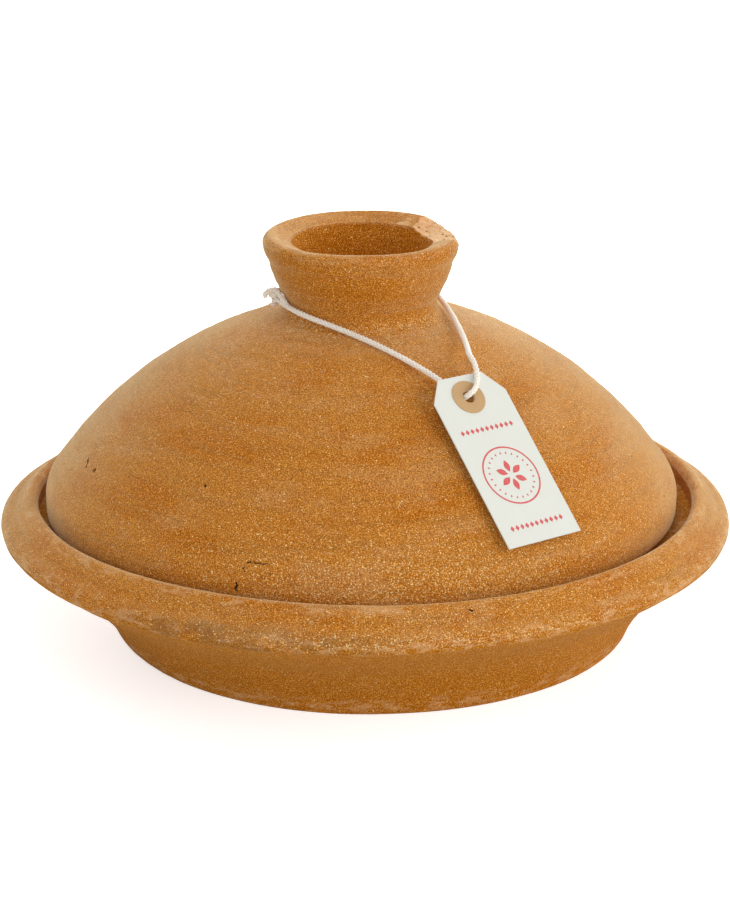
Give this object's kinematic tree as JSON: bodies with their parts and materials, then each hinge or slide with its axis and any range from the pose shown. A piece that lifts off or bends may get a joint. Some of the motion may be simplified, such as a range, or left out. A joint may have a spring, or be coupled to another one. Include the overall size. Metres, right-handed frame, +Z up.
{
  "type": "tagine pot",
  "caption": "Unglazed clay cooking pot: a broad-rimmed dish, a domed lid with a hollow knob, and a card tag on a loop of cotton twine.",
  "frame": {"origin": "middle of the flat foot, on the surface that the pot stands on", "axes": "+Z up along the pot's wheel-thrown axis; -Y towards the side where the tag hangs, +X to the right seen from that side"},
  "size_m": [0.3, 0.3, 0.161],
  "materials": {
    "dish_clay": "unglazed, matte, fine sandy grain",
    "lid_clay": "unglazed, matte, fine sandy grain",
    "tag_paper": "smooth matte card with printed ornament",
    "washer_paper": "matte kraft paper",
    "cotton_twine": "twisted cotton"
  },
  "bodies": {
    "dish": {"base_dish": "dish_clay"},
    "lid": {"lid": "lid_clay"},
    "string": {"tag_string": "cotton_twine", "string_knot": "cotton_twine"},
    "tag": {"tag_card": "tag_paper", "tag_washer_front": "washer_paper", "tag_washer_back": "washer_paper"}
  },
  "joints": [
    {"name": "lid_lift", "type": "slide", "parent": "dish", "child": "lid", "axis": [0, 0, 1], "range_m": [0, 0.15]},
    {"name": "string_turn", "type": "hinge", "parent": "lid", "child": "string", "pos_m": [0, 0, 0.134], "axis": [0, 0, 1], "continuous": true},
    {"name": "tag_swing", "type": "hinge", "parent": "string", "child": "tag", "pos_m": [0.0405, -0.07107, 0.11384], "axis": [0.4256, -0.5506, 0.7181], "range_deg": [-30, 30]}
  ]
}
